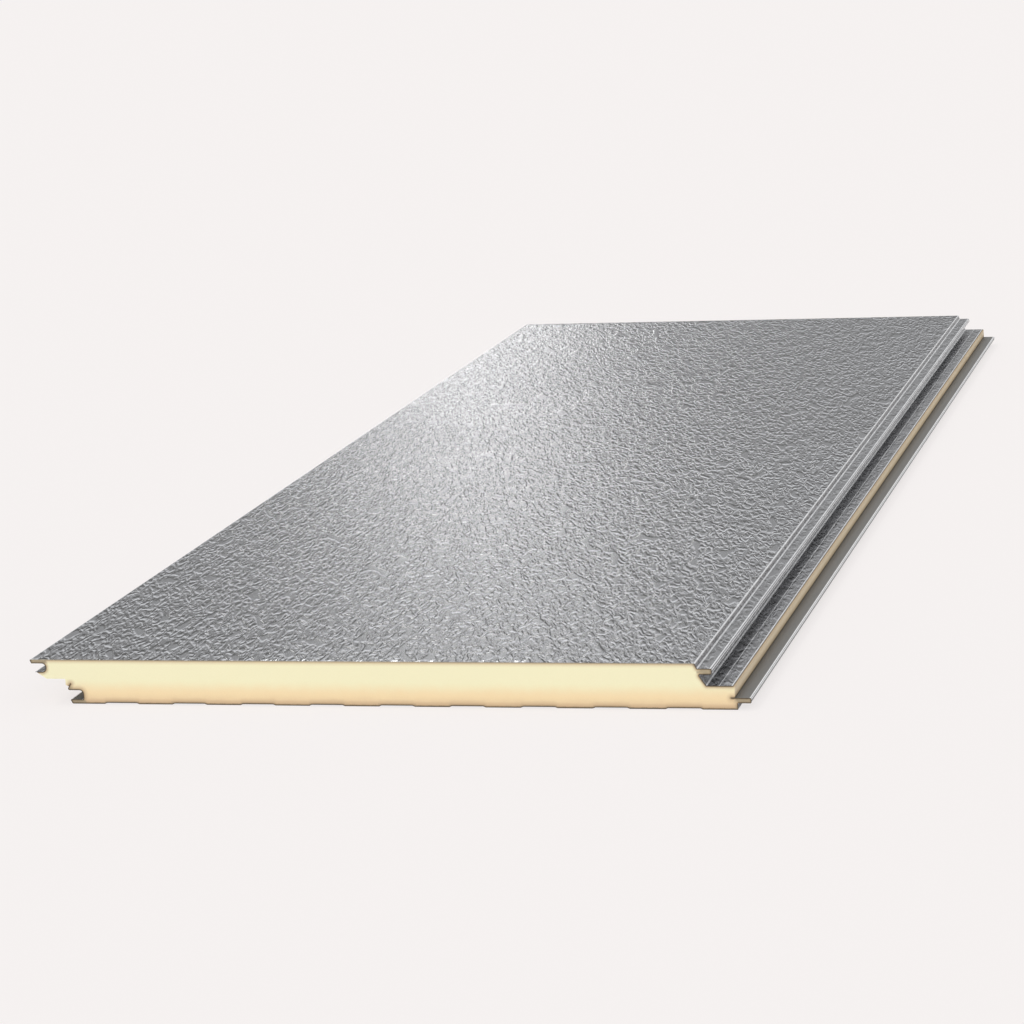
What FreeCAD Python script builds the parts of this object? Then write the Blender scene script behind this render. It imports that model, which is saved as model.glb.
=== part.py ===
import FreeCAD, Part
import math
import os

import Sketcher
from FreeCAD import Placement, Rotation, Vector

"""Insulated sandwich panel with concealed-fix joints along both long edges.

Two roll-formed steel facings are bonded to a rigid foam core.  Every profile is drawn
across the panel, from the tip of the upper nose at x = 0, with z up from the
underside, and is then run along the length.

A profile is a list of straight runs.  Each run is level, upright or slanted, and each is
held by expressions on the "Dims" sheet; neighbouring runs meet in a bend of the
named radius.  The two facings are those lines given the thickness of their sheet.
The core is the whole outline less the two facings, so it always fits them.
"""

# ----------------------------------------------------------------- sizes (mm, degrees)
SIZES = [
    # overall
    ("cover_width", 1200.0),        # one panel to the next
    ("panel_length", 3600.0),
    ("thickness", 80.0),
    ("outer_sheet", 0.7),
    ("inner_sheet", 0.6),
    ("bend_radius", 1.6),           # outside of the ordinary roll-formed bends
    # outer (upper) joint, female side
    ("nose_lean", 23.0),
    ("hem_depth", 7.3),             # face to the underside of the folded nose
    ("groove_height", 15.0),
    ("groove_depth", 29.6),
    ("groove_roundness", 0.46),     # bend radius as a share of the groove height
    ("lip_setback", 9.0),           # free edge of the lip, behind the nose tip
    # outer (upper) joint, male side
    ("face_gap", 3.0),              # shadow gap left between two laid panels
    ("tongue_top_play", 1.7),
    ("tongue_low_play", 2.7),
    ("tongue_tip_play", 3.6),
    ("tongue_bend", 3.2),
    ("throat_play", 6.0),           # lip edge to the root of the tongue
    ("throat_lean", 34.0),
    ("flange_play", 3.4),           # screw flange to the overhang above it
    ("flange_end_play", 4.0),
    # core
    ("overhang_depth", 35.0),       # face to the underside of the overhang
    ("overhang_lean", 56.0),
    ("overhang_lip_play", 3.0),     # foam starts behind the lip edge
    ("core_setback", 65.0),
    ("core_play", 1.5),
    ("core_bend", 2.0),
    # inner (lower) joint, female side
    ("slot_level", 24.5),           # upper wall of the slot
    ("slot_height", 16.6),
    ("slot_end", 96.2),
    ("slot_bend", 7.0),
    ("slot_root_bend", 2.0),
    ("hook_lean", 33.0),
    ("hook_bend", 2.6),
    ("hook_corner", 66.4),          # where the hook line meets the slot wall
    ("hook_level", 36.0),           # free end of the hook, buried in the core
    ("bevel_level", 34.0),
    ("bevel_lean", 62.0),
    ("toe_lean", 29.0),
    ("toe_edge", 75.4),             # start of the flat underside
    # inner (lower) joint, male side
    ("heel_play", 7.0),             # gap left at the underside of two laid panels
    ("spline_low_play", 3.5),
    ("spline_top_play", 3.9),
    ("spline_tip_play", 4.9),
    ("spline_bend", 2.4),
    ("spline_anchor", 5.9),         # length of the free edge held in the core
    # shallow ribs of the inner facing
    ("rib_count", 9),
    ("rib_margin", 62.5),           # flat left before the first rib and after the last
    ("rib_width", 60.0),
    ("rib_depth", 1.9),
    ("rib_lean", 68.0),
]

doc = FreeCAD.newDocument("insulated_panel")
dims = doc.addObject("Spreadsheet::Sheet", "Dims")
for row, (name, value) in enumerate(SIZES, start=1):
    dims.set("A%d" % row, name)
    dims.set("B%d" % row, repr(value))
    dims.setAlias("B%d" % row, name)
doc.recompute()


def named(text):
    """Write `cover_width` style names of an expression as cells of the Dims sheet."""
    for name, _ in sorted(SIZES, key=lambda item: -len(item[0])):
        text = text.replace("{%s}" % name, "Dims.%s" % name)
    return "(" + text + ")"


def number(expression):
    """Present value of an expression, used only to start each sketch near its answer."""
    return float(dims.evalExpression(expression))


# --------------------------------------------------------------------- runs of a profile
class Run:
    """One straight run of a profile, and the bend radius at its far end.

    `repeats` says how many runs back the same run is, when a shape comes again and again.
    """

    def __init__(self, kind, x=None, z=None, lean=None, bend=None, repeats=0):
        self.kind, self.x, self.z, self.lean, self.bend = kind, x, z, lean, bend
        self.repeats = repeats

    def turned(self, bend):
        """The same run walked the other way, with the bend that is then at its far end."""
        return Run(self.kind, self.x, self.z, self.lean, bend, -self.repeats)

    def again(self, back):
        """The same run, marked as repeating the one `back` runs before it."""
        return Run(self.kind, self.x, self.z, self.lean, self.bend, back)

    def line(self):
        """A point on the run's line and the line's direction."""
        if self.kind == "level":
            return Vector(0, number(self.z), 0), Vector(1, 0, 0)
        if self.kind == "upright":
            return Vector(number(self.x), 0, 0), Vector(0, 1, 0)
        lean = math.radians(number(self.lean))
        point = Vector(number(self.x), number(self.z), 0)
        return point, Vector(math.sin(lean), math.cos(lean), 0)


def level(z, bend=None):
    return Run("level", z=named(z), bend=named(bend) if bend else None)


def upright(x, bend=None):
    return Run("upright", x=named(x), bend=named(bend) if bend else None)


def slant(x, z, lean, bend=None):
    """A run through (x, z) leaning `lean` degrees from upright, to the right at the top."""
    return Run("slant", x=named(x), z=named(z), lean=named(lean),
               bend=named(bend) if bend else None)


def reversed_runs(runs):
    """The runs walked the other way, each bend staying at its own corner."""
    bends = [None] + [run.bend for run in runs[:-1]]
    return [run.turned(bend) for run, bend in zip(reversed(runs), reversed(bends))]


def crossing(first, second):
    """Where the lines of two runs cross."""
    p, u = first.line()
    q, w = second.line()
    cross = u.x * w.y - u.y * w.x
    step = ((q.x - p.x) * w.y - (q.y - p.y) * w.x) / cross
    return p + u * step


# --------------------------------------------------------------------- drawing a profile
def draw(name, runs, start=None, end=None):
    """Fully constrained sketch of a profile.

    An open profile is trimmed by the runs `start` and `end`; a closed one has neither.
    """
    sketch = doc.addObject("Sketcher::SketchObject", name)
    sketch.Placement = Placement(Vector(0, 0, 0), Rotation(Vector(1, 0, 0), 90))
    sketch.setExpression("Placement.Base.x", "-%s / 2" % OVERALL_WIDTH)
    sketch.setExpression("Placement.Base.y", "-Dims.panel_length / 2")

    closed = start is None
    ring = [runs[-1]] + runs + [runs[0]] if closed else [start] + runs + [end]
    corners = [crossing(a, b) for a, b in zip(ring, ring[1:])]
    if closed:
        bends = [runs[-1].bend] + [run.bend for run in runs]
    else:
        bends = [None] + [run.bend for run in runs[:-1]] + [None]

    def trim(index):
        """Tangent length and turning angle of the bend at one corner."""
        if bends[index] is None:
            return 0.0, 0.0
        here = corners[index]
        before = corners[index - 1] if index else corners[-2]
        after = corners[index + 1] if index + 1 < len(corners) else corners[1]
        turn = (here - before).getAngle(after - here)
        return number(bends[index]) * math.tan(turn / 2), turn

    geometry, rules, bindings, first = [], [], [], {}

    def rule(kind, *refs, value=None):
        """Add a constraint, held to an expression when it has a value."""
        if value is None:
            rules.append(Sketcher.Constraint(kind, *refs))
            return
        now = number(value)
        if kind == "Angle":
            now = math.radians(now)
        rules.append(Sketcher.Constraint(kind, *refs, now))
        bindings.append((len(rules) - 1, value))

    def shared(quantity, value, item, tie, *refs, **bound):
        """Bind the first item that has this value, and tie the later ones to it."""
        if (quantity, value) in first:
            other = first[quantity, value]
            rule(tie, *[other if ref is None else ref for ref in refs])
        else:
            first[quantity, value] = item
            rule(*bound["by"], value=value)

    lines = []
    for index, run in enumerate(runs):
        here, there = corners[index], corners[index + 1]
        along = (there - here).normalize()
        here = here + along * trim(index)[0]
        there = there - along * trim(index + 1)[0]
        geometry.append(Part.LineSegment(here, there))
        lines.append((len(geometry) - 1, run, here, there, along))

    for index, (item, run, here, there, along) in enumerate(lines):
        if run.repeats:
            twin = lines[index - run.repeats][0]
            rule("Parallel", item, twin)
            if run.kind == "level":
                rule("Equal", item, twin)
                rule("PointOnObject", item, 1, twin)
        elif run.kind == "level":
            rule("Horizontal", item)
            shared("level", run.z, item, "PointOnObject", item, 1, None,
                   by=("DistanceY", -1, 1, item, 1))
        elif run.kind == "upright":
            rule("Vertical", item)
            rule("DistanceX", -1, 1, item, 1, value=run.x)
        else:
            geometry.append(Part.Point(Vector(number(run.x), number(run.z), 0)))
            pin = len(geometry) - 1
            rule("DistanceX", -1, 1, pin, 1, value=run.x)
            shared("height", run.z, pin, "Horizontal", pin, 1, None, 1,
                   by=("DistanceY", -1, 1, pin, 1))
            rule("PointOnObject", pin, 1, item)
            upward = 90 if along.y > 0 else -90
            shared("lean", "%d - %s" % (upward, run.lean), item, "Parallel", item, None,
                   by=("Angle", item))

    joints = list(range(len(lines) if closed else len(lines) - 1))
    for index in joints:
        item, run, _, tip, along = lines[index]
        following = lines[(index + 1) % len(lines)]
        if run.bend is None:
            rule("Coincident", item, 2, following[0], 1)
            continue
        radius = number(run.bend)
        left = along.cross(following[4]).z > 0
        inward = Vector(-along.y, along.x, 0) * (1 if left else -1)
        centre = tip + inward * radius
        ends = [math.atan2((p - centre).y, (p - centre).x) for p in (tip, following[2])]
        if not left:
            ends.reverse()
        circle = Part.Circle(centre, Vector(0, 0, 1), radius)
        geometry.append(Part.ArcOfCircle(circle, ends[0], ends[1]))
        arc = len(geometry) - 1
        near, far = (1, 2) if left else (2, 1)
        rule("Tangent", item, 2, arc, near)
        rule("Tangent", arc, far, following[0], 1)
        shared("radius", run.bend, arc, "Equal", arc, None, by=("Radius", arc))

    if not closed:
        for trimmer, item, vertex in ((start, lines[0][0], 1), (end, lines[-1][0], 2)):
            if trimmer.kind == "upright":
                rule("DistanceX", -1, 1, item, vertex, value=trimmer.x)
            else:
                rule("DistanceY", -1, 1, item, vertex, value=trimmer.z)

    sketch.addGeometry(geometry, False)
    for item in range(len(geometry)):
        if isinstance(geometry[item], Part.Point):
            sketch.setConstruction(item, True)
    sketch.addConstraint(rules)
    for index, expression in bindings:
        sketch.setExpression("Constraints[%d]" % index, expression)
    return sketch


def run_along(name, base):
    """Run a section along the panel's length."""
    body = doc.addObject("Part::Extrusion", name)
    body.Base = base
    body.DirMode = "Custom"
    body.Dir = Vector(0, 1, 0)
    body.Solid = True
    body.setExpression("LengthFwd", "Dims.panel_length")
    return body


def sheet_metal(name, line, offset):
    """Give a drawn line the thickness of its sheet, towards the core."""
    section = doc.addObject("Part::Offset2D", name + "_section")
    section.Source = line
    section.Mode = "Skin"
    section.Fill = True
    section.Value = number(offset)
    section.setExpression("Value", offset)
    return section


# ------------------------------------------------------------------ levels and positions
HEM = "{thickness} - {hem_depth}"
LIP = HEM + " - {groove_height}"
TONGUE_TOP = HEM + " - {tongue_top_play}"
TONGUE_LOW = LIP + " + {tongue_low_play}"
OVERHANG = "{thickness} - {overhang_depth}"
FLANGE = OVERHANG + " - {flange_play}"
FLANGE_END = "{cover_width} + {core_setback} - {flange_end_play}"
CORE_SIDE = "{cover_width} + {core_setback} - {core_play}"
TOE = "{slot_level} - {slot_height}"
SPLINE_LOW = TOE + " + {spline_low_play}"
SPLINE_TOP = "{slot_level} - {spline_top_play}"
SPLINE_TIP = "{cover_width} + {slot_end} - {spline_tip_play}"
HEEL = "{cover_width} + {toe_edge} - {heel_play}"
RIB_CENTRE = "({toe_edge} + " + HEEL + ") / 2"
RIB_PITCH = "(" + HEEL + " - {toe_edge} - 2 * {rib_margin} - {rib_width}) / ({rib_count} - 1)"
OVERALL_WIDTH = named(SPLINE_TIP)

# ----------------------------------------------------------------------- outer facing
outer_runs = [
    level(LIP, "{groove_height} * {groove_roundness}"),
    upright("{groove_depth}", "{groove_height} * {groove_roundness}"),
    level(HEM, "{bend_radius}"),
    slant("0", "{thickness}", "-{nose_lean}", "{bend_radius}"),
    level("{thickness}", "{bend_radius}"),
    slant("{cover_width} - {face_gap}", "{thickness}", "-{nose_lean}", "{bend_radius}"),
    level(TONGUE_TOP, "{tongue_bend}"),
    upright("{cover_width} + {groove_depth} - {tongue_tip_play}", "{tongue_bend}"),
    level(TONGUE_LOW, "{bend_radius}"),
    slant("{cover_width} + {lip_setback} - {throat_play}", TONGUE_LOW, "-{throat_lean}",
          "{bend_radius}"),
    level(FLANGE),
]
outer_line = draw("outer_line", outer_runs, start=upright("{lip_setback}"),
                  end=upright(FLANGE_END))
outer_section = sheet_metal("outer_facing", outer_line, "-Dims.outer_sheet")
outer_facing = run_along("outer_facing", outer_section)

# ----------------------------------------------------------------------- inner facing
SLOT_WALL = level("{slot_level}", "{slot_bend}")
HOOK = slant("{hook_corner}", "{slot_level}", "{hook_lean}", "{hook_bend}")

rib_runs = []
rib_total = int(number("Dims.rib_count"))
for rib in range(rib_total):
    centre = RIB_CENTRE + " + (%d - ({rib_count} - 1) / 2) * " % rib + RIB_PITCH
    rise = slant(centre + " - {rib_width} / 2", "{rib_depth} / 2", "{rib_lean}", "{bend_radius}")
    fall = slant(centre + " + {rib_width} / 2", "{rib_depth} / 2", "-{rib_lean}", "{bend_radius}")
    recess, flat = level("{rib_depth}", "{bend_radius}"), level("0", "{bend_radius}")
    rib_runs += [
        rise.again(4 if rib > 1 else 0),
        recess.again(4 if rib > 0 else 0),
        fall.again(4 if rib > 0 else 0),
        flat.again(4 if 0 < rib < rib_total - 1 else 0),
    ]

inner_runs = [
    HOOK,
    SLOT_WALL,
    upright("{slot_end}", "{slot_root_bend}"),
    level(TOE, "{bend_radius}"),
    slant("{toe_edge}", "0", "-{toe_lean}", "{bend_radius}"),
    level("0", "{bend_radius}"),
] + rib_runs + [
    upright(HEEL, "{bend_radius}"),
    level(SPLINE_LOW, "{spline_bend}"),
    upright(SPLINE_TIP, "{spline_bend}"),
    level(SPLINE_TOP),
]
inner_line = draw("inner_line", inner_runs, start=level("{hook_level}"),
                  end=upright(CORE_SIDE + " - {spline_anchor}"))
inner_section = sheet_metal("inner_facing", inner_line, "Dims.inner_sheet")
inner_facing = run_along("inner_facing", inner_section)

# -------------------------------------------------------------------------- foam core
outline = draw("panel_outline", outer_runs + [
    upright(FLANGE_END),
    level(FLANGE + " - {outer_sheet}", "{core_bend}"),
    upright(CORE_SIDE),
] + reversed_runs(inner_runs) + [
    slant("{core_setback}", "{bevel_level}", "-{bevel_lean}"),
    upright("{core_setback}", "{core_bend}"),
    level(OVERHANG, "{core_bend}"),
    slant("{lip_setback} + {overhang_lip_play}", LIP + " - {outer_sheet}", "-{overhang_lean}"),
    level(LIP + " - {outer_sheet}"),
    upright("{lip_setback}"),
])
outline_section = doc.addObject("Part::Face", "panel_section")
outline_section.Sources = [outline]
whole = run_along("whole_panel", outline_section)
facings = doc.addObject("Part::Compound", "both_facings")
facings.Links = [outer_facing, inner_facing]
foam_core = doc.addObject("Part::Cut", "foam_core")
foam_core.Base = whole
foam_core.Tool = facings

# ----------------------------------------------------------------- check and hand over
doc.recompute()
for item in doc.Objects:
    if "Invalid" in item.State or "Error" in item.State:
        raise RuntimeError("%s did not build: %s" % (item.Name, item.State))
    shape = getattr(item, "Shape", None)
    if shape is not None and (shape.isNull() or not shape.isValid()):
        raise RuntimeError("%s has no sound shape" % item.Name)

os.makedirs("parts", exist_ok=True)
for piece in (outer_facing, inner_facing, foam_core):
    piece.Label = piece.Name
    solids = piece.Shape.Solids
    if len(solids) != 1:
        raise RuntimeError("%s is in %d pieces" % (piece.Label, len(solids)))
    piece.Shape.exportStep("parts/%s.step" % piece.Label)
    box = piece.Shape.BoundBox
    print("%-14s %9.1f cm3   x %.1f..%.1f  y %.1f..%.1f  z %.2f..%.2f" % (
        piece.Label, piece.Shape.Volume / 1000, box.XMin, box.XMax, box.YMin, box.YMax,
        box.ZMin, box.ZMax))
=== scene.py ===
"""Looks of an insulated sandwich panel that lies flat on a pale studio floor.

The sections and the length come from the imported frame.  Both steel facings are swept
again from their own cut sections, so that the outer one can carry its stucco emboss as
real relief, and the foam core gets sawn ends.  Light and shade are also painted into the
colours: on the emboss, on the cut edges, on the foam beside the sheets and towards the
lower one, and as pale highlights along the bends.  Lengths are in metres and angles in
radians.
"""

import logging
import math
from dataclasses import dataclass
from enum import Enum

import bmesh
import bpy
from mathutils import Matrix, Vector, noise
from mathutils.geometry import delaunay_2d_cdt
from mathutils.kdtree import KDTree


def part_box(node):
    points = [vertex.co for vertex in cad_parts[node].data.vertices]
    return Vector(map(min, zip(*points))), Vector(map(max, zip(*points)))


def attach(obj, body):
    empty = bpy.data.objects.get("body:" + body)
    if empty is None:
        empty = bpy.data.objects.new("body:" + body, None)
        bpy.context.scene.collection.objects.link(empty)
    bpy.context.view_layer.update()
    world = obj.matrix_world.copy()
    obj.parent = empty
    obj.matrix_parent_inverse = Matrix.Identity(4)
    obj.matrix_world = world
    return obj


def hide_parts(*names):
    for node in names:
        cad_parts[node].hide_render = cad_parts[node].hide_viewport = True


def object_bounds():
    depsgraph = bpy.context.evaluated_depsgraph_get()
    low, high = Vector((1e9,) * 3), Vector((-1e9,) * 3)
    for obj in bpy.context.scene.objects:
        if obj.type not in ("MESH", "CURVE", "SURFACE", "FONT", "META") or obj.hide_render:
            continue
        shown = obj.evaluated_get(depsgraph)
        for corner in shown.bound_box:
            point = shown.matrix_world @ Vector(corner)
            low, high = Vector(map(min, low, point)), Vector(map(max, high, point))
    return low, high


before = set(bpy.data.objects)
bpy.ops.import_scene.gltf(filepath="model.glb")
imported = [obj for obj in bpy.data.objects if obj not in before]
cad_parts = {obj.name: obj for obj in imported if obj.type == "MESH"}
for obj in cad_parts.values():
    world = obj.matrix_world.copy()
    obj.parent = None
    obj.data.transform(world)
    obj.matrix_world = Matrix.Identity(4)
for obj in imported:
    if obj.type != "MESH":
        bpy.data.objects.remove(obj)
CAD_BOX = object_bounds()
LOG = logging.getLogger("panel")
MERGE = 2e-6  # points that are closer are one
CREASE = math.radians(40)  # an edge that turns more stays sharp
LONG_FLAT = 0.2  # a longer run of a section is a main flat

Colour = tuple[float, float, float]
Link = bpy.types.NodeSocket


def linear(red: int, green: int, blue: int) -> Colour:
    """Turn a colour written as 0 to 255 into the linear values that shaders take."""
    parts = (part / 255 for part in (red, green, blue))
    return tuple(p / 12.92 if p <= 0.04045 else ((p + 0.055) / 1.055) ** 2.4 for p in parts)


# ------------------------------------------------------------------------ node helpers
class Wiring:
    """Short way to add and link nodes in a material, world or geometry tree."""

    def __init__(self, tree: bpy.types.NodeTree) -> None:
        """Start on an existing tree."""
        self.tree = tree

    def node(self, kind: str, settings: dict | None = None, **inputs: object) -> bpy.types.Node:
        """Add a node, set it up and fill its inputs.

        Args:
            kind: Blender's name of the node's class.
            settings: Properties of the node itself.
            inputs: Values or sockets by input name, with _ for a space.

        Returns:
            The new node.
        """
        made = self.tree.nodes.new(kind)
        for name, value in (settings or {}).items():
            setattr(made, name, value)
        for name, value in inputs.items():
            wanted = name.replace("_", " ")
            sockets = [s for s in made.inputs if s.name == wanted and s.enabled]
            self.feed(sockets[0], value)
        return made

    def feed(self, socket: Link, value: object) -> None:
        """Give one input its value.

        Args:
            socket: The input.
            value: A number, a vector, a colour, a data-block, or a socket to link from.
        """
        if isinstance(value, Link):
            self.tree.links.new(value, socket)
        elif socket.type == "RGBA" and len(value) == 3:
            socket.default_value = (*value, 1.0)
        else:
            socket.default_value = value

    def maths(self, operation: str, *values: object, kind: str = "ShaderNodeMath") -> Link:
        """Add a Math node, or a Vector Math node by its kind.

        Args:
            operation: The operation's name.
            values: Its operands, numbers, vectors or sockets.
            kind: Blender's name of the node's class.

        Returns:
            The result socket.
        """
        made = self.node(kind, {"operation": operation})
        for socket, value in zip([s for s in made.inputs if s.enabled], values):
            self.feed(socket, value)
        return next(s for s in made.outputs if s.enabled)

    def vector(self, operation: str, *values: object) -> Link:
        """Add a Vector Math node and give its result, a vector or a number."""
        return self.maths(operation, *values, kind="ShaderNodeVectorMath")

    def attribute(self, name: str) -> Link:
        """Read a number that a mesh carries on its points."""
        return self.node("ShaderNodeAttribute", {"attribute_name": name}).outputs["Fac"]

    def ramp(self, value: Link, low: float, high: float, smooth: bool = True) -> Link:
        """Turn a value into 0 at `low` and 1 at `high`.

        Args:
            value: The socket to read.
            low: Where the result is 0.
            high: Where the result is 1.
            smooth: Whether both ends are eased.

        Returns:
            The result socket.
        """
        easing = "SMOOTHSTEP" if smooth else "LINEAR"
        made = self.node("ShaderNodeMapRange", {"interpolation_type": easing},
                         Value=value, From_Min=low, From_Max=high)
        return made.outputs["Result"]

    def blend(self, share: object, first: object, second: object, way: str = "MIX") -> Link:
        """Mix two colours.

        Args:
            share: How much of the second colour shows.
            first: Colour at 0.
            second: Colour at 1.
            way: Blender's name of the way they mix.

        Returns:
            The colour socket.
        """
        made = self.node("ShaderNodeMix", {"data_type": "RGBA", "blend_type": way})
        for socket, value in ((made.inputs[0], share), (made.inputs[6], first),
                              (made.inputs[7], second)):
            self.feed(socket, value)
        return made.outputs[2]

    def noise(self, place: Link, scale: float, detail: float = 2.0,
              roughness: float = 0.5) -> Link:
        """Add a noise texture and give its factor."""
        return self.node("ShaderNodeTexNoise", Vector=place, Scale=scale, Detail=detail,
                         Roughness=roughness).outputs[0]


def empty_tree(owner: bpy.types.Material | bpy.types.World) -> Wiring:
    """Clear the node tree of a material or a world.

    Args:
        owner: The material or world.

    Returns:
        The wiring of its empty tree.
    """
    owner.use_nodes = True
    owner.node_tree.nodes.clear()
    return Wiring(owner.node_tree)


def add_object(name: str, data: bpy.types.ID) -> bpy.types.Object:
    """Put an object into the scene.

    Args:
        name: The object's name.
        data: Its mesh, lamp or camera.

    Returns:
        The object.
    """
    made = bpy.data.objects.new(name, data)
    bpy.context.scene.collection.objects.link(made)
    return made


# ---------------------------------------------------------------------------- finishes
@dataclass(frozen=True)
class Stucco:
    """Stucco emboss pressed into the outer sheet: winding valleys round smooth patches.

    `winding` holds the scale, detail and distortion of the valleys' noise.
    """

    across: float = 0.0130
    along: float = 0.039
    slant: float = math.radians(-12.5)
    depth: float = 0.0003
    gleam: float = 0.0005
    seed: float = 4.0
    pressed_valley: float = 0.20
    seen_valley: float = 0.15
    # strength of the painted light and shade on the flanks, and the reach of its slope
    painted_flank_shade: float = 2.2
    flank_shade_reach: float = 0.0100
    # strength of the painted shade in the valleys
    painted_shade: float = 0.12
    patch_size: float = 2.0
    patch_share: float = 0.37
    patch_fade: float = 0.08
    winding: tuple[float, float, float] = (1.0, 1.6, 0.5)
    roughness: float = 0.6
    valley_line: float = 0.5
    even_height: float = 0.8

    def height(self, wiring: Wiring, place: Link, across: object, along: object,
               seed: object, valley: float) -> Link:
        """Build the emboss's height, from 0 in the valleys to 1 on the smooth patches.

        Args:
            wiring: The tree that gets the nodes.
            place: Object-space position, in metres.
            across: Size of a cell across the panel.
            along: Size of a cell along the panel.
            seed: Number that picks the pattern.
            valley: How wide the valleys are.

        Returns:
            The height.
        """
        pitch = wiring.node("ShaderNodeCombineXYZ", X=across, Y=along, Z=across)
        turned = wiring.node("ShaderNodeVectorRotate", {"rotation_type": "Z_AXIS"},
                             Vector=place, Angle=self.slant)
        local = wiring.vector("DIVIDE", turned.outputs[0], pitch.outputs[0])
        cells, patches = (wiring.node("ShaderNodeTexNoise", {"noise_dimensions": "4D"},
                                      Vector=local, W=seed, Scale=scale, Detail=detail,
                                      Roughness=self.roughness, Distortion=bend)
                          for scale, detail, bend in (self.winding,
                                                      (1 / self.patch_size, 0.0, 0.0)))
        off = wiring.maths("SUBTRACT", cells.outputs[0], self.valley_line)
        ridge = wiring.ramp(wiring.maths("ABSOLUTE", off), 0.0, valley)
        smooth = wiring.ramp(patches.outputs[0], self.patch_share,
                             self.patch_share - self.patch_fade)
        return wiring.maths("MAXIMUM", smooth, ridge)

    def shade(self, wiring: Wiring, place: Link, colour: Link, share: Link) -> Link:
        """Paint light and shade into the coat along the emboss.

        The flanks that face one way along the panel are painted lighter and the other flanks
        darker, as painted light and shade, and the valleys are painted darker, as painted
        shade.

        Args:
            wiring: The coat's tree.
            place: Object-space position, in metres.
            colour: Colour of the plain coat.
            share: How deep the emboss is, from 0 to 1.

        Returns:
            The colour with the painted light and shade.
        """
        reach = Vector((math.sin(self.slant), math.cos(self.slant), 0.0)) * self.flank_shade_reach / 2
        behind, before = (self.height(wiring, wiring.vector("ADD", place, tuple(step)),
                                      self.across, self.along, self.seed, self.seen_valley)
                          for step in (reach, -reach))
        # painted light on the flanks that face one way along the panel, painted shade on the
        # others
        flank = wiring.maths("SUBTRACT", behind, before)
        middle = wiring.maths("MULTIPLY", wiring.maths("ADD", behind, before), 0.5)
        # painted shade in the valleys
        change = wiring.maths("MULTIPLY_ADD", middle, self.painted_shade,
                              -self.even_height * self.painted_shade)
        change = wiring.maths("MULTIPLY_ADD", flank, self.painted_flank_shade, change)
        return wiring.vector("SCALE", colour, wiring.maths("MULTIPLY_ADD", change, share, 1.0))


@dataclass(frozen=True)
class CoatedSteel:
    """Factory-coated steel: metallic paint with a painted highlight along its bends."""

    name: str
    colour: Colour
    metal: float
    roughness: float
    # colour of the painted highlight along the bends
    painted_highlight: Colour = linear(238, 239, 241)
    stucco: Stucco | None = None
    cloud_scale: float = 3.0
    grain_scale: float = 900.0
    grain_share: float = 0.6
    grain_strength: float = 0.25
    grain_depth: float = 0.00004
    tones: tuple[float, float] = (0.94, 1.05)
    tone_range: tuple[float, float] = (0.5, 1.1)
    gloss_spread: float = 0.08
    # lower end of the emboss height over which the painted highlight fades in
    highlight_from: float = -2.4

    def material(self) -> bpy.types.Material:
        """Build the coat.

        Returns:
            The material.
        """
        made = bpy.data.materials.new(self.name)
        wiring = empty_tree(made)
        place = wiring.node("ShaderNodeTexCoord").outputs["Object"]
        cloud = wiring.noise(place, self.cloud_scale, detail=3.0)
        grain = wiring.noise(place, self.grain_scale)
        tone = wiring.maths("ADD", cloud, wiring.maths("MULTIPLY", grain, self.grain_share))
        dark, light = (tuple(share * part for part in self.colour) for share in self.tones)
        colour = wiring.blend(wiring.ramp(tone, *self.tone_range), dark, light)
        gloss = wiring.maths("MULTIPLY_ADD", cloud, self.gloss_spread,
                             self.roughness - self.gloss_spread / 2)
        fine = wiring.node("ShaderNodeBump", Height=grain, Strength=self.grain_strength,
                           Distance=self.grain_depth)
        normal = fine.outputs["Normal"]
        # painted highlight: pale and less metallic along the bends and the scribed line
        bend = wiring.attribute("bend_highlight")
        if self.stucco:
            relief = wiring.attribute("relief")
            height = self.stucco.height(wiring, place, self.stucco.across, self.stucco.along,
                                        self.stucco.seed, self.stucco.seen_valley)
            pressed = wiring.node("ShaderNodeBump", Height=height, Strength=relief,
                                  Distance=self.stucco.gleam, Normal=normal)
            normal = pressed.outputs["Normal"]
            colour = self.stucco.shade(wiring, place, colour, relief)
            # the emboss's valleys dim the painted highlight
            bend = wiring.maths("MULTIPLY", bend, wiring.ramp(height, self.highlight_from, 1.0))
        colour = wiring.blend(bend, colour, self.painted_highlight)
        metal = wiring.maths("MULTIPLY_ADD", bend, -self.metal, self.metal)
        shader = wiring.node("ShaderNodeBsdfPrincipled", Base_Color=colour,
                             Metallic=metal, Roughness=gloss, Normal=normal)
        wiring.node("ShaderNodeOutputMaterial", Surface=shader.outputs[0])
        return made


@dataclass(frozen=True)
class ShearedSteel:
    """Cut edge of a sheet: painted light on the long flats, painted shade elsewhere."""

    name: str = "sheared_steel_edge"
    # pale painted light for the long flats' cut edge, dark painted shade for the rest
    painted_light: Colour = linear(238, 230, 212)
    painted_shade: Colour = linear(62, 54, 46)
    streak_scale: float = 450.0
    streak_depth: float = 0.4
    metal: float = 0.1
    roughness: float = 0.6

    def material(self) -> bpy.types.Material:
        """Build the cut steel, streaked by the shear.

        Returns:
            The material.
        """
        made = bpy.data.materials.new(self.name)
        wiring = empty_tree(made)
        place = wiring.node("ShaderNodeTexCoord").outputs["Object"]
        streak = wiring.noise(place, self.streak_scale, detail=3.0)
        # painted light where the flat is long, painted shade on the other cut edges
        tone = wiring.blend(wiring.attribute("long_flat"), self.painted_shade, self.painted_light)
        shade = wiring.maths("MULTIPLY_ADD", streak, self.streak_depth,
                             1 - self.streak_depth / 2)
        shader = wiring.node("ShaderNodeBsdfPrincipled", Metallic=self.metal,
                             Roughness=self.roughness,
                             Base_Color=wiring.vector("SCALE", tone, shade))
        wiring.node("ShaderNodeOutputMaterial", Surface=shader.outputs[0])
        return made


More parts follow.
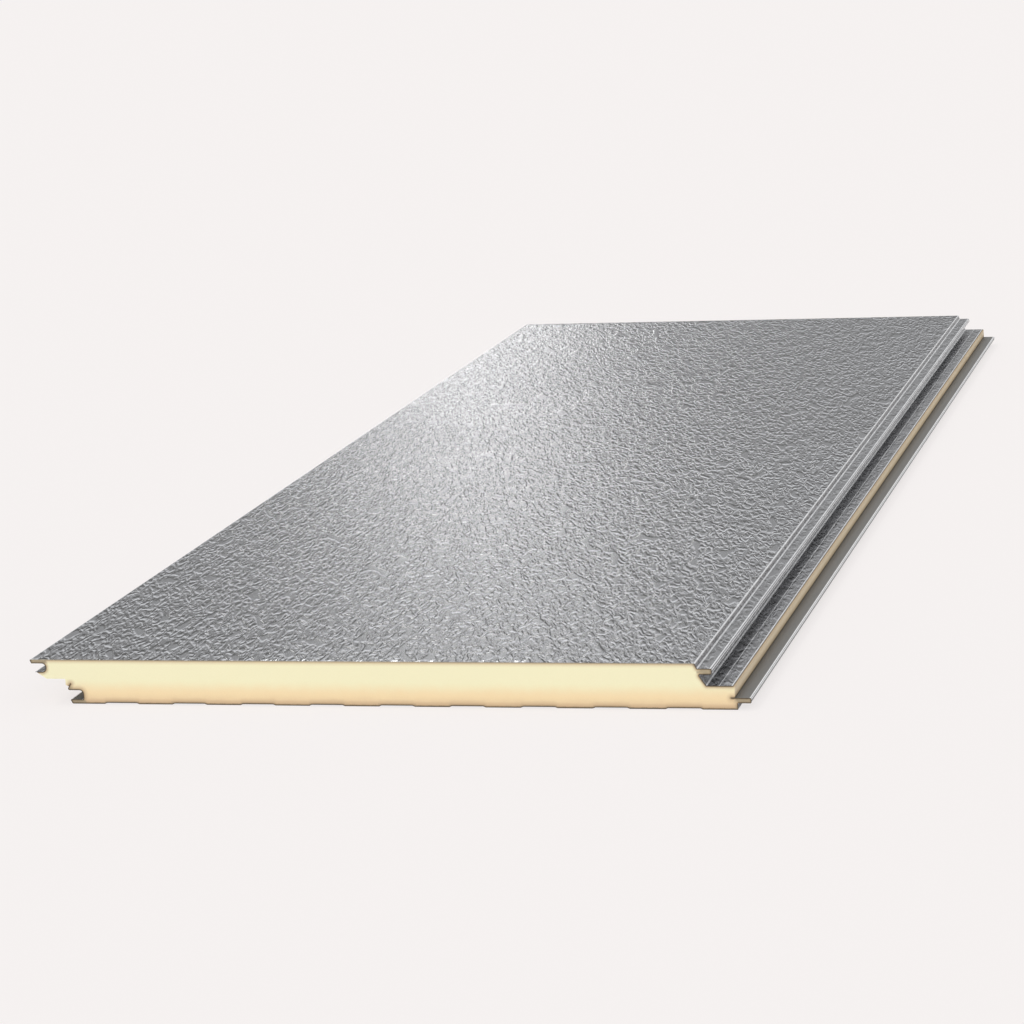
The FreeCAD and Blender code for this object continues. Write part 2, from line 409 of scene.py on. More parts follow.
@dataclass(frozen=True)
class RigidFoam:
    """Cream rigid foam, with painted shade beside the sheets and towards the lower one."""

    name: str = "rigid_foam"
    # upper to lower: painted darker towards the lower sheet, painted shade
    upper: Colour = linear(248, 243, 207)
    middle: Colour = linear(248, 226, 184)
    lower: Colour = linear(228, 200, 165)
    # painted shade right at the sheets, between close sheets, and beside the sheets
    rim_shade: Colour = linear(88, 76, 60)
    gap_shade: Colour = linear(172, 158, 134)
    near_sheet_shade: Colour = linear(206, 180, 146)
    cloud_size: float = 0.022
    cell: float = 0.0011
    cloud_drift: float = 0.10
    low_band: tuple[float, float] = (0.04, 0.32)
    high_band: tuple[float, float] = (0.28, 0.62)
    wall_band: tuple[float, float] = (0.02, 0.28)
    pit: Colour = (0.965, 0.955, 0.93)
    pit_strength: float = 0.5
    pit_depth: float = 0.0002
    roughness: float = 0.9
    shine: float = 0.15

    def material(self, thickness: float) -> bpy.types.Material:
        """Build the foam.

        Args:
            thickness: Height of the panel, over which the tone changes.

        Returns:
            The material.
        """
        made = bpy.data.materials.new(self.name)
        wiring = empty_tree(made)
        place = wiring.node("ShaderNodeTexCoord").outputs["Object"]
        height = wiring.node("ShaderNodeSeparateXYZ", Vector=place).outputs["Z"]
        cloud = wiring.noise(place, 1 / self.cloud_size, detail=3.0)
        level = wiring.maths("MULTIPLY_ADD", cloud, self.cloud_drift * thickness, height)
        # painted shade: darker towards the lower sheet
        low, high = (wiring.ramp(level, *(share * thickness for share in band))
                     for band in (self.low_band, self.high_band))
        tone = wiring.blend(high, wiring.blend(low, self.lower, self.middle), self.upper)
        # painted shade right at, beside and between the sheets
        for name, colour in (("near_sheet_shade", self.near_sheet_shade), ("gap_shade", self.gap_shade),
                             ("rim_shade", self.rim_shade)):
            tone = wiring.blend(wiring.attribute(name), tone, colour)
        cells = wiring.node("ShaderNodeTexVoronoi", {"feature": "DISTANCE_TO_EDGE"},
                            Vector=place, Scale=1 / self.cell)
        wall = wiring.ramp(cells.outputs["Distance"], *self.wall_band)
        pit = wiring.blend(wall, (1.0, 1.0, 1.0), self.pit)
        bump = wiring.node("ShaderNodeBump", {"invert": True}, Height=wall,
                           Strength=self.pit_strength, Distance=self.pit_depth)
        shader = wiring.node("ShaderNodeBsdfPrincipled", Roughness=self.roughness,
                             Base_Color=wiring.blend(1.0, tone, pit, "MULTIPLY"),
                             Specular_IOR_Level=self.shine, Normal=bump.outputs["Normal"])
        wiring.node("ShaderNodeOutputMaterial", Surface=shader.outputs[0])
        return made


# ------------------------------------------------------------------------- the section
class CutSection:
    """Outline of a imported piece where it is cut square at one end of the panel."""

    def __init__(self, node: str) -> None:
        """Trace the outline.

        Args:
            node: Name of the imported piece.
        """
        low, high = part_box(node)
        self.start, self.end = low.y, high.y
        mesh = bmesh.new()
        mesh.from_mesh(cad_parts[node].data)
        bmesh.ops.remove_doubles(mesh, verts=mesh.verts, dist=MERGE)
        for face in mesh.faces:
            face.tag = all(v.co.y < low.y + MERGE for v in face.verts)
        rim = [e for e in mesh.edges if sum(f.tag for f in e.link_faces) == 1]
        self.loop = self._walk(rim)
        mesh.free()

    @staticmethod
    def _walk(rim: list[bmesh.types.BMEdge]) -> list[Vector]:
        """Order the rim's edges into one closed loop.

        Args:
            rim: Edges round the cut end.

        Returns:
            Corners of the loop as (x, z).
        """
        beside: dict[bmesh.types.BMVert, list[bmesh.types.BMVert]] = {}
        for edge in rim:
            first, second = edge.verts
            beside.setdefault(first, []).append(second)
            beside.setdefault(second, []).append(first)
        before, here = rim[0].verts
        chain = [before]
        while here is not chain[0]:
            chain.append(here)
            onward = next(v for v in beside[here] if v is not before)
            before, here = here, onward
        return [Vector((v.co.x, v.co.z)) for v in chain]


def divided(loop: list[Vector], step: float, longest: float = math.inf) -> list[Vector]:
    """Divide the runs of a closed section.

    Args:
        loop: Corners of the section.
        step: No two points of a run are further apart.
        longest: Runs that are longer are left out.

    Returns:
        The points, without the end of each run.
    """
    fine = []
    for here, there in zip(loop, loop[1:] + loop[:1]):
        run = (there - here).length
        if run <= longest:
            parts = max(1, math.ceil(run / step))
            fine += [here.lerp(there, part / parts) for part in range(parts)]
    return fine


def finder_of(places: list[Vector]) -> KDTree:
    """Build a finder of the nearest of some points of a section.

    Args:
        places: The points as (x, z).

    Returns:
        The finder.
    """
    finder = KDTree(len(places))
    for index, place in enumerate(places):
        finder.insert(place.to_3d(), index)
    finder.balance()
    return finder


# ------------------------------------------------------------------------- the facings
@dataclass
class RolledSheet:
    """A roll-formed facing, swept along the panel from its own cut section.

    `split_run`, `flat_run`, `scribe_clear` and `on_bend` are shares of `bend_margin`.
    """

    node: str
    piece: str
    slot: str
    coat: CoatedSteel
    across_step: float
    along_step: float
    edge_fade: float = 0.003
    bend_fade: float = 0.003
    bend_relief: float = 0.35
    bend_margin: float = 0.0013
    # share of the painted highlight on a bend away from the flats
    faint_highlight: float = 0.1
    sharp: float = 0.0015
    narrow_relief: float = 0.5
    split_run: float = 2.5
    flat_run: float = 2.0
    on_bend: float = 0.1
    least_turn: float = math.radians(1)
    # a line on one flat that gets the full painted highlight
    scribe: tuple[float, float] | None = None
    scribe_clear: float = 1.5
    scribe_level: float = 0.001
    scribe_half: float = 0.0005
    free_edge: float = 0.001
    square_turn: float = math.radians(80)
    edge_roll: float = 0.0020
    edge_drop: float = 0.0005
    edge_shares: tuple[float, ...] = (0.0, 0.4, 0.75, 1.0)

    def sides(self, loop: list[Vector]) -> tuple[list[Vector], list[Vector]]:
        """Split the section at its two free edges.

        Args:
            loop: The closed section.

        Returns:
            The weather side and the foam side, each from one free edge to the other.
        """
        count = len(loop)
        free = self.free_edges(loop)
        first = [loop[i % count] for i in range(free[0] + 1, free[1] + 1)]
        second = [loop[i % count] for i in range(free[1] + 1, free[0] + 1 + count)]
        return (first, second) if self.is_outside(first, second) else (second, first)

    def free_edges(self, loop: list[Vector]) -> list[int]:
        """Find the two short edges that end the sheet.

        Args:
            loop: The closed section.

        Returns:
            Index of the corner before each free edge.
        """
        count = len(loop)
        square = []
        for i in range(count):
            before, here = loop[i] - loop[i - 1], loop[(i + 1) % count] - loop[i]
            after = loop[(i + 2) % count] - loop[(i + 1) % count]
            turns = (before.angle(here), here.angle(after))
            if here.length < self.free_edge and min(turns) > self.square_turn:
                square.append(i)
        if len(square) != 2:
            raise ValueError(f"{self.node} has {len(square)} free edges")
        return square

    def is_outside(self, first: list[Vector], second: list[Vector]) -> bool:
        """Tell whether the first side is the one that faces away from the foam.

        Args:
            first: One side of the sheet.
            second: The other side.

        Returns:
            True when the first side reaches higher or lower than the second.
        """
        middle = (CAD_BOX[0].z + CAD_BOX[1].z) / 2
        reach = [max(abs(p.y - middle) for p in side) for side in (first, second)]
        return reach[0] > reach[1]

    def roll_edges(self, side: list[Vector], other: list[Vector]) -> list[Vector]:
        """Round one side down over the sheet's thickness at both free edges.

        Args:
            side: Corners of the side that is rounded.
            other: Corners of the other side, the other way round.

        Returns:
            The side with its rounded ends.
        """
        rolled = list(side)
        for end, step, deep in ((0, 1, other[-1]), (-1, -1, other[0])):
            tip = rolled[end]
            flat = (rolled[end + step] - tip).normalized()
            down = (deep - tip).normalized()
            arc = [tip + flat * self.edge_roll * (1 - share)
                   + down * self.edge_drop * share ** 2 for share in self.edge_shares]
            rolled = arc[::-1] + rolled[1:] if end == 0 else rolled[:-1] + arc
        return rolled

    def refine(self, side: list[Vector]) -> list[Vector]:
        """Divide the long flats of one side, with a point close to each of their ends.

        Args:
            side: Corners of the side.

        Returns:
            The same side with no step longer than `across_step`.
        """
        fine = [side[0]]
        for here, there in zip(side, side[1:]):
            run = (there - here).length
            near, far = here, there
            if run > self.split_run * self.bend_margin:
                margin = (there - here) * (self.bend_margin / run)
                near, far = here + margin, there - margin
                fine.append(near)
            parts = max(1, math.ceil((far - near).length / self.across_step))
            steps = [near.lerp(far, part / parts) for part in range(1, parts + 1)]
            fine += self.make_room(steps, near) if self.scribe else steps
            if far is not there:
                fine.append(there)
        return fine

    def make_room(self, steps: list[Vector], start: Vector) -> list[Vector]:
        """Put the scribed line's points into a flat that runs under it.

        Args:
            steps: Points of the flat after its start.
            start: Where the flat starts.

        Returns:
            The points, with three more where the flat is the scribed one.
        """
        place, level = self.scribe
        ends = sorted((start.x, steps[-1].x))
        if abs(start.y - level) > self.scribe_level or not ends[0] < place < ends[1]:
            return steps
        width = self.bend_margin
        marks = [Vector((place + side * width, start.y)) for side in (-1, 0, 1)]
        clear = [step for step in steps if abs(step.x - place) > self.scribe_clear * width]
        return sorted(clear + marks, key=lambda step: (step - start).length)

    def flatness(self, side: list[Vector]) -> dict[str, list[float]]:
        """Tell where one side is flat enough to be pressed, and where it is bent.

        Args:
            side: Corners of the refined side.

        Returns:
            For each corner, how deep the emboss is there, whether its flat is long and
            how much painted highlight it gets.
        """
        travel, bends = [0.0], []
        for here, there in zip(side, side[1:]):
            travel.append(travel[-1] + (there - here).length)
        for i in range(1, len(side) - 1):
            turn = (side[i] - side[i - 1]).angle(side[i + 1] - side[i])
            if turn > self.least_turn:
                bends.append(travel[i])
        marks = [0.0, *bends, travel[-1]]
        flats = [mark for near, far in zip(marks, marks[1:])
                 if far - near > self.flat_run * self.bend_margin for mark in (near, far)]
        result = {"relief": [], "long_flat": [], "bend_highlight": []}
        for spot, here in zip(side, travel):
            to_bend = min(abs(here - bend) for bend in bends)
            to_edge = min(here, travel[-1] - here)
            before = max(mark for mark in marks if mark <= here)
            after = min(mark for mark in marks if mark >= here)
            is_long = after - before > LONG_FLAT
            depth = min(1.0, self.bend_relief + to_bend / self.bend_fade)
            depth *= 1.0 if is_long else self.narrow_relief
            result["relief"].append(depth * min(1.0, to_edge / self.edge_fade))
            result["long_flat"].append(float(is_long))
            bent = min(to_bend, to_edge) < self.on_bend * self.bend_margin
            to_flat = min(abs(here - flat) for flat in flats)
            # full painted highlight on the scribed line and on bent points beside a flat, a
            # faint one on other bent points
            if self.is_scribed(spot) or bent and to_flat < self.sharp:
                result["bend_highlight"].append(1.0)
            else:
                result["bend_highlight"].append(self.faint_highlight * bent)
        return result

    def is_scribed(self, spot: Vector) -> bool:
        """Tell whether a point (x, z) of the section lies on the scribed line."""
        return bool(self.scribe) and (spot - Vector(self.scribe)).length < self.scribe_half

    def sweep(self) -> bpy.types.Object:
        """Sweep the section into one closed sheet.

        Returns:
            The sheet, with what `flatness` says on its points and `sheared` on its faces.
        """
        section = CutSection(self.node)
        outside, inside = self.sides(section.loop)
        outside = self.refine(self.roll_edges(outside, inside))
        rows = max(1, round((section.end - section.start) / self.along_step))
        stations = [section.start + (section.end - section.start) * r / rows
                    for r in range(rows + 1)]
        wide = len(outside)
        points = [(p.x, y, p.y) for y in stations for p in outside]
        near = len(points)
        points += [(p.x, section.start, p.y) for p in inside]
        far = len(points)
        points += [(p.x, section.end, p.y) for p in inside]

        faces = [(r * wide + c, r * wide + c + 1, (r + 1) * wide + c + 1, (r + 1) * wide + c)
                 for r in range(rows) for c in range(wide - 1)]
        faces += [(near + i, near + i + 1, far + i + 1, far + i)
                  for i in range(len(inside) - 1)]
        plain = len(faces)
        deep = list(range(len(inside)))[::-1]
        for row, base in ((0, near), (rows, far)):
            faces += self.bridge([row * wide + c for c in range(wide)],
                                 [base + i for i in deep], points)
        for column, item in ((wide - 1, 0), (0, len(inside) - 1)):
            faces += self.bridge([r * wide + column for r in range(rows + 1)],
                                 [near + item, far + item], points)

        data = bpy.data.meshes.new(self.piece)
        data.from_pydata(points, [], faces)
        shown, hidden = self.flatness(outside), self.flatness(inside)
        for name, seen in shown.items():
            unseen = hidden[name] if name == "long_flat" else [0.0] * len(inside)
            # the inner sheet's cut edges all get the painted shade
            if name == "long_flat" and not self.coat.stucco:
                seen, unseen = [0.0] * wide, [0.0] * len(inside)
            values = seen * (rows + 1) + unseen * 2
            data.attributes.new(name, "FLOAT", "POINT").data.foreach_set("value", values)
        sheared = data.attributes.new("sheared", "BOOLEAN", "FACE")
        sheared.data.foreach_set("value", [i >= plain for i in range(len(faces))])
        work = bmesh.new()
        work.from_mesh(data)
        bmesh.ops.recalc_face_normals(work, faces=work.faces)
        work.to_mesh(data)
        work.free()
        return add_object(self.piece, data)

    @staticmethod
    def bridge(first: list[int], second: list[int],
               points: list[tuple[float, float, float]]) -> list[tuple[int, int, int]]:
        """Fill the strip between two rows of points that run side by side.

        Args:
            first: Points of one row.
            second: Points of the other row, in the same direction.
            points: Places of all the points.

        Returns:
            The strip's triangles.
        """
        strip, i, j = [], 0, 0
        while i < len(first) - 1 or j < len(second) - 1:
            onward = math.inf if i == len(first) - 1 else math.dist(
                points[first[i + 1]], points[second[j]])
            across = math.inf if j == len(second) - 1 else math.dist(
                points[first[i]], points[second[j + 1]])
            if onward <= across:
                strip.append((first[i], first[i + 1], second[j]))
                i += 1
            else:
                strip.append((first[i], second[j + 1], second[j]))
                j += 1
        return strip

    def press_tree(self, coat: bpy.types.Material,
                   edge: bpy.types.Material) -> bpy.types.NodeTree:
        """Build the tree that presses the emboss, softens the bends and dresses the sheet.

        Args:
            coat: Finish of both faces.
            edge: Finish of the sheared edges.

        Returns:
            The geometry tree.
        """
        tree = bpy.data.node_groups.new(self.piece + "_press", "GeometryNodeTree")
        face = tree.interface
        face.new_socket("Sheet", in_out="INPUT", socket_type="NodeSocketGeometry")
        for name in ("Bump across", "Bump along", "Press depth", "Seed"):
            face.new_socket(name, in_out="INPUT", socket_type="NodeSocketFloat")
        face.new_socket("Sheet", in_out="OUTPUT", socket_type="NodeSocketGeometry")
        wiring = Wiring(tree)
        given = wiring.node("NodeGroupInput").outputs
        shape = given["Sheet"]
        if self.coat.stucco:
            place = wiring.node("GeometryNodeInputPosition").outputs[0]
            raised = self.coat.stucco.height(wiring, place, given["Bump across"],
                                             given["Bump along"], given["Seed"],
                                             self.coat.stucco.pressed_valley)
            relief = wiring.node("GeometryNodeInputNamedAttribute", {"data_type": "FLOAT"},
                                 Name="relief").outputs[0]
            sunk = wiring.maths("SUBTRACT", raised, 1.0)
            sunk = wiring.maths("MULTIPLY", sunk, given["Press depth"])
            sunk = wiring.maths("MULTIPLY", sunk, relief)
            normal = wiring.node("GeometryNodeInputNormal").outputs[0]
            shape = wiring.node("GeometryNodeSetPosition", Geometry=shape,
                                Offset=wiring.vector("SCALE", normal, sunk)).outputs[0]
        shape = wiring.node("GeometryNodeSetShadeSmooth", Geometry=shape,
                            Shade_Smooth=True).outputs[0]
        angle = wiring.node("GeometryNodeInputMeshEdgeAngle").outputs[0]
        sharp = wiring.maths("GREATER_THAN", angle, CREASE)
        shape = wiring.node("GeometryNodeSetShadeSmooth", {"domain": "EDGE"}, Geometry=shape,
                            Selection=sharp, Shade_Smooth=False).outputs[0]
        cut = wiring.node("GeometryNodeInputNamedAttribute", {"data_type": "BOOLEAN"},
                          Name="sheared")
        cut = next(s for s in cut.outputs if s.enabled and s.name == "Attribute")
        shape = wiring.node("GeometryNodeRealizeInstances", Geometry=shape).outputs[0]
        shape = wiring.node("GeometryNodeSetMaterial", Geometry=shape, Material=coat).outputs[0]
        shape = wiring.node("GeometryNodeSetMaterial", Geometry=shape, Selection=cut,
                            Material=edge).outputs[0]
        wiring.node("NodeGroupOutput", Sheet=shape)
        return tree

    def press(self, sheet: bpy.types.Object, edge: bpy.types.Material) -> None:
        """Run the tree on the sheet and keep the result as a plain mesh.

        Args:
            sheet: The swept sheet.
            edge: Finish of its sheared edges.
        """
        tree = self.press_tree(self.coat.material(), edge)
        modifier = sheet.modifiers.new("press", "NODES")
        modifier.node_group = tree
        stucco = self.coat.stucco
        if stucco:
            wanted = {"Bump across": stucco.across, "Bump along": stucco.along,
                      "Press depth": stucco.depth, "Seed": stucco.seed}
            for item in tree.interface.items_tree:
                if item.in_out == "INPUT" and item.name in wanted:
                    modifier[item.identifier] = wanted[item.name]
        shown = sheet.evaluated_get(bpy.context.evaluated_depsgraph_get())
        finished = bpy.data.meshes.new_from_object(shown)
        sheet.modifiers.remove(modifier)
        sheet.data = finished

    def build(self, edge: bpy.types.Material) -> bpy.types.Object:
        """Build and dress the facing.

        Args:
            edge: Finish of its sheared edges.

        Returns:
            The finished facing.
        """
        sheet = self.sweep()
        self.press(sheet, edge)
        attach(sheet, "root")
        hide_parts(self.node)
        return sheet


# ---------------------------------------------------------------------------- the core
@dataclass
class FoamCore:
    """The foam between the sheets, with sawn ends.

    `rim_clear` is a share of the depth of a point set in from the rim, and `grain_clear`
    of `rim_shade_depth`.
    """

    node: str = "foam_core"
    piece: str = "foam_core_sawn"
    slot: str = "foam"
    finish: RigidFoam = RigidFoam()
    side_step: float = 0.004
    grain_step: float = 0.0032
    # reach of the painted shade right at the sheets
    rim_shade_depth: float = 0.0024
    rim_steps: tuple[float, ...] = (0.0008, 0.0020)
    rim_clear: float = 0.9
    grain_clear: float = 1.3
    same_spot: float = 1e-7
    # reach of the painted shade beside the upper and the lower sheet
    near_shade_depth: tuple[float, float] = (0.0065, 0.0095)
    tight_reach: float = 0.0075
    tight_from: float = 0.62
    tight_span: float = 0.3
    saw_depth: float = 0.00025
    saw_fine: float = 420.0
    saw_coarse: float = 90.0
    coarse_share: float = 0.6
    touch: float = 0.0002
    feel: float = 0.0008
    # the formed side is painted darker towards the bottom as well, painted shade
    side_finish: RigidFoam = RigidFoam("foam_formed_side", linear(250, 236, 210),
                                       linear(240, 220, 188), linear(190, 170, 138),
                                       cloud_size=0.16)

    def sawn_face(self, loop: list[Vector]) -> tuple[list[Vector], list[list[int]]]:
        """Mesh the sawn end inside the section.

        Args:
            loop: The section, whose points come first in the result.

        Returns:
            The points as (x, z) and the triangles between them.
        """
        edge = finder_of(loop)
        inner = []
        for i, here in enumerate(loop):
            along = (loop[(i + 1) % len(loop)] - loop[i - 1]).normalized()
            for depth in self.rim_steps:
                for side in (-1, 1):
                    spot = here + Vector((along.y, -along.x)) * depth * side
                    if edge.find(spot.to_3d())[2] > self.rim_clear * depth:
                        inner.append(spot)
        low = Vector((min(p.x for p in loop), min(p.y for p in loop)))
        high = Vector((max(p.x for p in loop), max(p.y for p in loop)))
        columns = int((high.x - low.x) / self.grain_step)
        rows = int((high.y - low.y) / self.grain_step)
        for row in range(rows + 1):
            for column in range(columns + 1):
                shift = 0.5 * (row % 2)
                spot = low + Vector((column + shift, row)) * self.grain_step
                if edge.find(spot.to_3d())[2] > self.grain_clear * self.rim_shade_depth:
                    inner.append(spot)
        inside_only = 1
        result = delaunay_2d_cdt(loop + inner, [], [list(range(len(loop)))], inside_only,
                                 self.same_spot)
        spots, triangles = result[0], result[2]
        used = sorted({i for triangle in triangles for i in triangle})
        rename = {old: new for new, old in enumerate(used)}
        return [spots[i] for i in used], [[rename[i] for i in t] for t in triangles]

    @staticmethod
    def beside(spot: Vector, sheets: KDTree, depth: float) -> float:
        """Tell how near a point (x, z) is to a sheet: 1 at it, falling to 0 at `depth`."""
        return max(0.0, 1.0 - sheets.find(spot.to_3d())[2] / depth)

    def feel_sheets(self, spots: list[Vector]) -> dict[str, list[float]]:
        """Work out how much painted shade the sheets put on each point of the sawn end.

        Args:
            spots: The points as (x, z).

        Returns:
            The painted shade right at the sheets, beside them and between close sheets, each 0
            to 1.
        """
        outer, inner = (CutSection(node).loop for node in ("outer_facing", "inner_facing"))
        bent = finder_of(divided(outer, self.touch, LONG_FLAT) + divided(inner, self.touch))
        over, under = divided(outer, self.feel), divided(inner, self.feel)
        around, upper, lower = (finder_of(places) for places in (over + under, over, under))
        above, below = self.near_shade_depth
        return {"rim_shade": [self.beside(spot, bent, self.rim_shade_depth) for spot in spots],
                "near_sheet_shade": [max(self.beside(spot, upper, above), self.beside(spot, lower, below))
                          for spot in spots],
                "gap_shade": [self.tightness(spot, around) for spot in spots]}

    def tightness(self, spot: Vector, sheets: KDTree) -> float:
        """Tell how closely the sheets stand round one point.

        Args:
            spot: The point as (x, z).
            sheets: Finder of points of the sheets.

        Returns:
            0 in the open core, 1 between two sheets that lie close together.
        """
        centre = spot.to_3d()
        found = sheets.find_range(centre, self.tight_reach)
        if len(found) < 2:
            return 0.0
        ways = [(place - centre).normalized() for place, _, _ in found]
        pull = sum(ways, Vector()).length / len(ways)
        return min(1.0, max(0.0, (self.tight_from - pull) / self.tight_span))

    def build(self) -> bpy.types.Object:
        """Build and dress the core.

        Returns:
            The finished core.
        """
        low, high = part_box(self.node)
        loop = divided(CutSection(self.node).loop, self.side_step)
        spots, triangles = self.sawn_face(loop)
        rim = self.rim(spots, triangles)
        on_rim = {i for edge in rim for i in edge}
        points, faces = [], []
        for end, inward in ((low.y, 1), (high.y, -1)):
            base = len(points)
            for index, spot in enumerate(spots):
                bite = 0.0 if index in on_rim else self.saw_depth * self.saw_mark(spot, end)
                points.append((spot.x, end + inward * bite, spot.y))
            faces += [[base + i for i in triangle] for triangle in triangles]
        count, sawn = len(spots), len(faces)
        faces += [[a, b, b + count, a + count] for a, b in rim]

        data = bpy.data.meshes.new(self.piece)
        data.from_pydata(points, [], faces)
        for name, values in self.feel_sheets(spots).items():
            data.attributes.new(name, "FLOAT", "POINT").data.foreach_set("value", values * 2)
        sides = [0] * sawn + [1] * (len(faces) - sawn)
        data.polygons.foreach_set("material_index", sides)
        work = bmesh.new()
        work.from_mesh(data)
        bmesh.ops.recalc_face_normals(work, faces=work.faces)
        for edge in work.edges:
            edge.smooth = edge.calc_face_angle(math.pi) < CREASE
        for face in work.faces:
            face.smooth = True
        work.to_mesh(data)
        work.free()
        for finish in (self.finish, self.side_finish):
            data.materials.append(finish.material(CAD_BOX[1].z))
        core = add_object(self.piece, data)
        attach(core, "root")
        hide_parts(self.node)
        return core

    @staticmethod
    def rim(spots: list[Vector], triangles: list[list[int]]) -> list[tuple[int, int]]:
        """Find the edges round the sawn end.

        Args:
            spots: Points of the sawn end.
            triangles: Triangles between them.

        Returns:
            The edges that only one triangle has.
        """
        seen: dict[frozenset[int], int] = {}
        for triangle in triangles:
            for a, b in zip(triangle, triangle[1:] + triangle[:1]):
                key = frozenset((a, b))
                seen[key] = seen.get(key, 0) + 1
        return [tuple(key) for key, times in seen.items() if times == 1]

    def saw_mark(self, spot: Vector, end: float) -> float:
        """Give the unevenness that the saw left in the open cells.

        Args:
            spot: Point of the sawn end as (x, z).
            end: Which end it is, as its place along the panel.

        Returns:
            A share from 0 to 1 of the saw's deepest bite.
        """
        place = Vector((spot.x, spot.y, end))
        rough = (noise.noise(place * self.saw_fine)
                 + self.coarse_share * noise.noise(place * self.saw_coarse))
        return min(1.0, max(0.0, 0.5 + 0.5 * rough))


# -------------------------------------------------------------------------- the studio
class Light(Enum):
    """Lamps of the studio: name, direction to the lamp, strength and angle across."""

    KEY = ("key_lamp", (-0.50, 0.10, 0.86), 0.5, 3.0)


@dataclass(frozen=True)
class SoftPanel:
    """A tall soft light panel that stands far away and fades towards its edges.

    `way` is its compass direction, and `lean` how far its middle drifts sideways per rise.
    """

    way: float
    left: float
    right: float
    top: float
    glow: float
    lean: float = 0.0
    ahead_fade: float = 0.1

    def shine(self, wiring: Wiring, look: Link, height: Link) -> Link:
        """Build the nodes that tell the panel's glow in one direction.

        Args:
            wiring: The sky's tree.
            look: Direction that is looked in.
            height: Upward part of that direction.

        Returns:
            The glow.
        """
        ahead = (math.sin(self.way), math.cos(self.way), 0.0)
        aside = (math.cos(self.way), -math.sin(self.way), 0.0)
        facing, side = (wiring.vector("DOT_PRODUCT", look, axis) for axis in (ahead, aside))
        side = wiring.maths("MULTIPLY_ADD", height, -self.lean, side)
        glow = wiring.ramp(height, math.sin(self.top), 0.0)
        for part in (wiring.ramp(side, -math.sin(self.left), 0.0),
                     wiring.ramp(side, math.sin(self.right), 0.0),
                     wiring.ramp(facing, 0.0, self.ahead_fade)):
            glow = wiring.maths("MULTIPLY", glow, part)
        return wiring.maths("MULTIPLY", glow, self.glow)


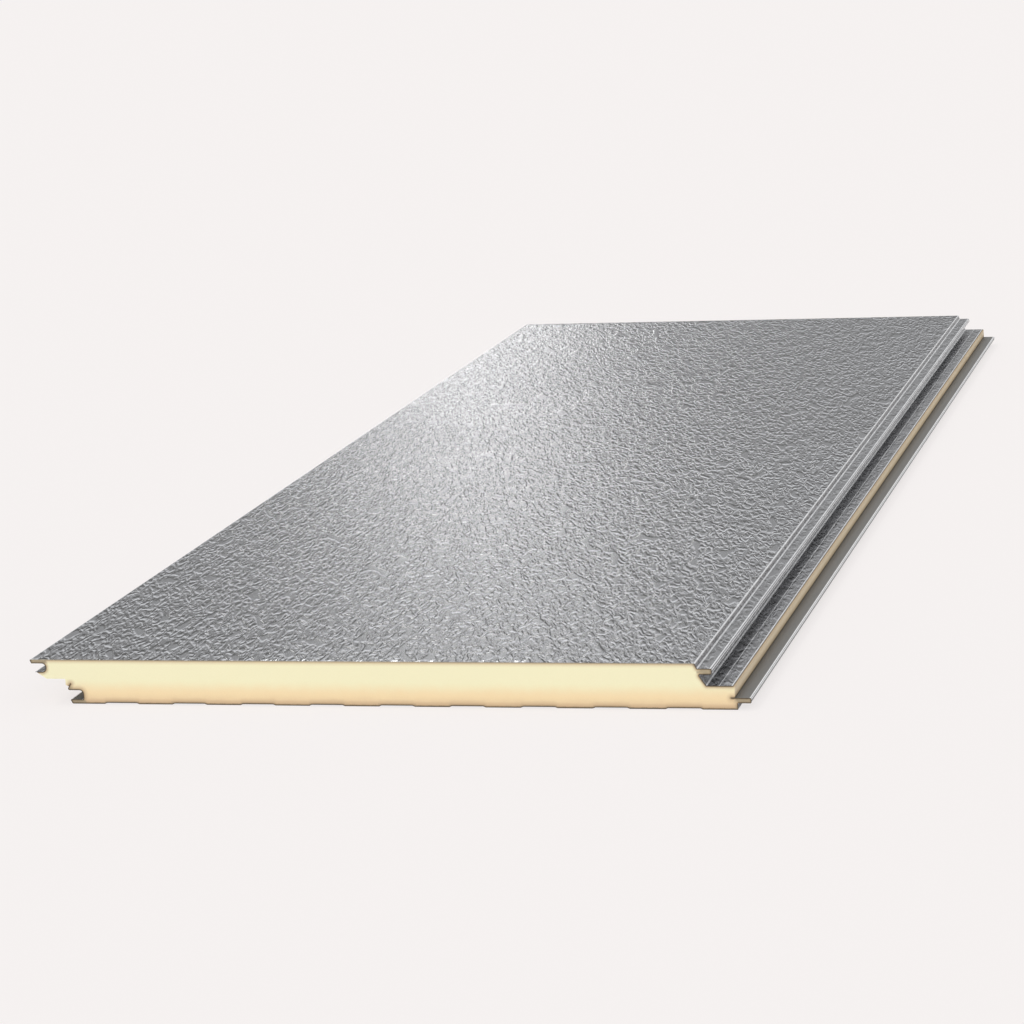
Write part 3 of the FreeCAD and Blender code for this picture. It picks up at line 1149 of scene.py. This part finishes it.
@dataclass
class Studio:
    """Pale floor, a sky brighter overhead and in front, soft light panels and the lamps."""

    floor_colour: Colour = linear(245, 241, 240)
    floor_reach: float = 60.0
    floor_drop: float = 0.0002
    floor_plain: float = 0.82
    horizon: float = 0.04
    plain: float = 0.45
    plain_from: float = 0.16
    zenith: float = 0.75
    zenith_from: float = 0.18
    zenith_at: float = 0.50
    front_fill: float = 0.68
    front_way: tuple[float, float, float] = (-0.40, -0.91, 0.0)
    front_range: tuple[float, float] = (-0.1, 0.9)
    panels: tuple[SoftPanel, ...] = (
        SoftPanel(way=math.radians(-16.8), left=math.radians(2.9), right=math.radians(2.8),
                  top=math.radians(17), glow=6.2, lean=0.146),
        SoftPanel(way=math.radians(9.0), left=math.radians(6.0), right=math.radians(6.0),
                  top=math.radians(22), glow=1.5),
    )

    def build(self) -> None:
        """Lay the floor and hang the lights."""
        self.lay_floor()
        self.light_sky()
        for lamp in Light:
            self.hang(lamp)

    def lay_floor(self) -> None:
        """Lay a wide plain floor just under the panel."""
        data = bpy.data.meshes.new("floor")
        reach = self.floor_reach
        corners = [(x * reach, y * reach, -self.floor_drop)
                   for x, y in ((-1, -1), (1, -1), (1, 1), (-1, 1))]
        data.from_pydata(corners, [], [(0, 1, 2, 3)])
        paint = bpy.data.materials.new("floor_paint")
        wiring = empty_tree(paint)
        matt = wiring.node("ShaderNodeBsdfDiffuse", Color=self.floor_colour)
        plain = wiring.node("ShaderNodeEmission", Color=self.floor_colour, Strength=1.0)
        path = wiring.node("ShaderNodeLightPath").outputs
        seen = wiring.maths("MAXIMUM", path["Is Camera Ray"], path["Is Glossy Ray"])
        seen = wiring.maths("MAXIMUM", seen, path["Is Transmission Ray"])
        mixed = wiring.node("ShaderNodeMixShader")
        wiring.feed(mixed.inputs[0], wiring.maths("MULTIPLY", seen, self.floor_plain))
        wiring.feed(mixed.inputs[1], matt.outputs[0])
        wiring.feed(mixed.inputs[2], plain.outputs[0])
        wiring.node("ShaderNodeOutputMaterial", Surface=mixed.outputs[0])
        data.materials.append(paint)
        floor = add_object("floor", data)

    def light_sky(self) -> None:
        """Make the sky, with the soft panels in it."""
        world = bpy.data.worlds.new("studio_sky")
        wiring = empty_tree(world)
        look = wiring.node("ShaderNodeTexCoord").outputs["Generated"]
        height = wiring.node("ShaderNodeSeparateXYZ", Vector=look).outputs["Z"]
        low = wiring.ramp(height, 0.0, self.plain_from, smooth=False)
        high = wiring.ramp(height, self.zenith_from, self.zenith_at)
        level = wiring.maths("MULTIPLY_ADD", low, self.plain - self.horizon, self.horizon)
        level = wiring.maths("MULTIPLY_ADD", high, self.zenith - self.plain, level)
        fill = wiring.ramp(wiring.vector("DOT_PRODUCT", look, self.front_way),
                           *self.front_range)
        level = wiring.maths("MULTIPLY_ADD", fill, self.front_fill, level)
        for panel in self.panels:
            level = wiring.maths("ADD", level, panel.shine(wiring, look, height))
        sky = wiring.node("ShaderNodeBackground", Color=(1.0, 1.0, 1.0), Strength=level)
        wiring.node("ShaderNodeOutputWorld", Surface=sky.outputs[0])
        bpy.context.scene.world = world

    def hang(self, lamp: Light) -> None:
        """Hang one lamp far away.

        Args:
            lamp: The lamp to hang.
        """
        name, way, strength, softness = lamp.value
        data = bpy.data.lights.new(name, "SUN")
        data.energy = strength
        data.angle = math.radians(softness)
        hung = add_object(name, data)
        hung.rotation_euler = Vector(way).to_track_quat("Z", "Y").to_euler()


@dataclass
class Viewpoint:
    """Camera in front of the near cut end, to its right, looking down along the panel."""

    place: Vector = Vector((1.6986, -7.1601, 1.5232))
    turn: float = math.radians(15.103)
    dip: float = math.radians(12.017)
    roll: float = math.radians(-3.548)
    lens: float = 118.71
    sensor: float = 36.0
    clip: tuple[float, float] = (0.1, 200.0)

    def build(self) -> None:
        """Set up the camera."""
        data = bpy.data.cameras.new("view")
        data.lens = self.lens
        data.sensor_width = self.sensor
        data.clip_start, data.clip_end = self.clip
        aim = (Matrix.Rotation(self.turn, 4, "Z")
               @ Matrix.Rotation(math.pi / 2 - self.dip, 4, "X")
               @ Matrix.Rotation(self.roll, 4, "Z"))
        camera = add_object("view", data)
        camera.matrix_world = Matrix.Translation(self.place) @ aim
        bpy.context.scene.camera = camera
        bpy.context.scene.view_settings.view_transform = "Standard"


def main() -> None:
    """Build the panel, the studio and the camera in order."""
    logging.basicConfig(level=logging.INFO, format="%(name)s: %(message)s")
    edge = ShearedSteel().material()
    silver = CoatedSteel("silver_stucco_coat", linear(134, 135, 138), metal=0.5,
                         roughness=0.25, stucco=Stucco())
    grey = CoatedSteel("grey_smooth_coat", linear(112, 111, 109), metal=0.35, roughness=0.45)
    outer = RolledSheet("outer_facing", "outer_facing_embossed", "outer_coating", silver,
                        across_step=0.0056, along_step=0.0146, scribe=(0.5920, 0.0416))
    inner = RolledSheet("inner_facing", "inner_facing_ribbed", "inner_coating", grey,
                        across_step=0.5, along_step=4.0)
    pieces = [outer.build(edge), inner.build(edge), FoamCore().build()]
    for piece in pieces:
        LOG.info("%s: %d points, %d faces", piece.name, len(piece.data.vertices),
                 len(piece.data.polygons))
    Studio().build()
    Viewpoint().build()


if __name__ == "__main__":
    main()
